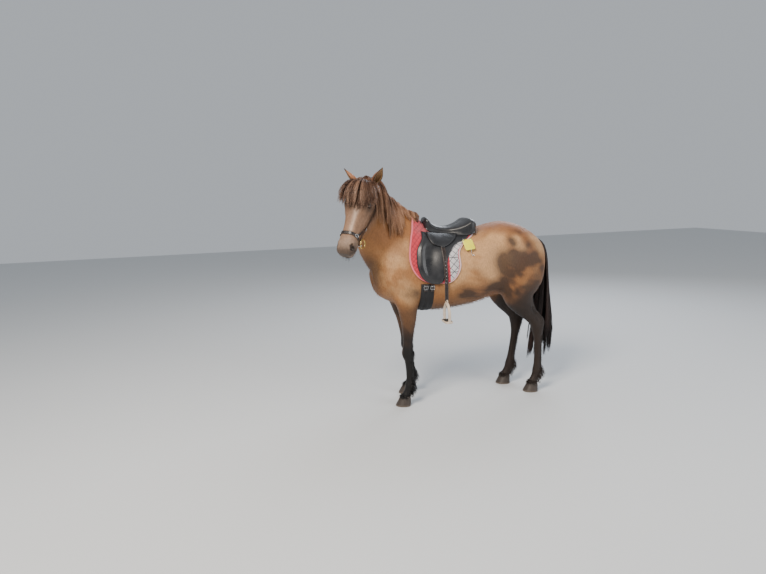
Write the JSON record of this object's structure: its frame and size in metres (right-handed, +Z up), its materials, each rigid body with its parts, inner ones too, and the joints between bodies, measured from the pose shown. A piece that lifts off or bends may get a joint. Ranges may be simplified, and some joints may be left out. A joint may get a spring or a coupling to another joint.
{
  "type": "icelandic horse",
  "caption": "Life-size standing Icelandic horse under saddle and bridle, with its head turned to the left, thick mane and forelock and long tail.",
  "frame": {"origin": "on the floor under the middle of the whole model", "axes": "+X the way the body faces, +Y to the horse's left, +Z up"},
  "size_m": [1.8283, 0.8221, 1.8196],
  "materials": {
    "coat": "matte short hair, golden brown",
    "dark_coat": "matte short hair, nearly black",
    "tail_hair": "long coarse hair with a soft sheen",
    "hoof": "smooth dull horn",
    "eye": "wet and glossy",
    "leather": "oiled leather, slightly glossy",
    "saddle": "black leather, slightly glossy",
    "pad": "quilted cotton, matte",
    "brass": "polished",
    "stirrup": "smooth composite, half matte",
    "plate": "smooth plastic, half glossy"
  },
  "bodies": {
    "root": {"bit_left": "brass", "bit_right": "brass", "ear_left": "coat", "ear_right": "coat", "eye_left": "eye", "eye_right": "eye", "flap_left": "saddle", "flap_right": "saddle", "girth": "saddle", "head": "coat", "headpiece": "leather", "hoof_fore_left": "hoof", "hoof_fore_right": "hoof", "hoof_hind_left": "hoof", "hoof_hind_right": "hoof", "leg_fore_left": "coat", "leg_fore_right": "coat", "leg_hind_left": "dark_coat", "leg_hind_right": "dark_coat", "neck": "coat", "noseband": "leather", "number_plate": "plate", "saddle_pad": "pad", "saddle_seat": "saddle", "stirrup_leather_left": "leather", "stirrup_leather_right": "leather", "stirrup_left": "stirrup", "stirrup_right": "stirrup", "tail": "tail_hair", "torso": "coat"}
  },
  "joints": []
}
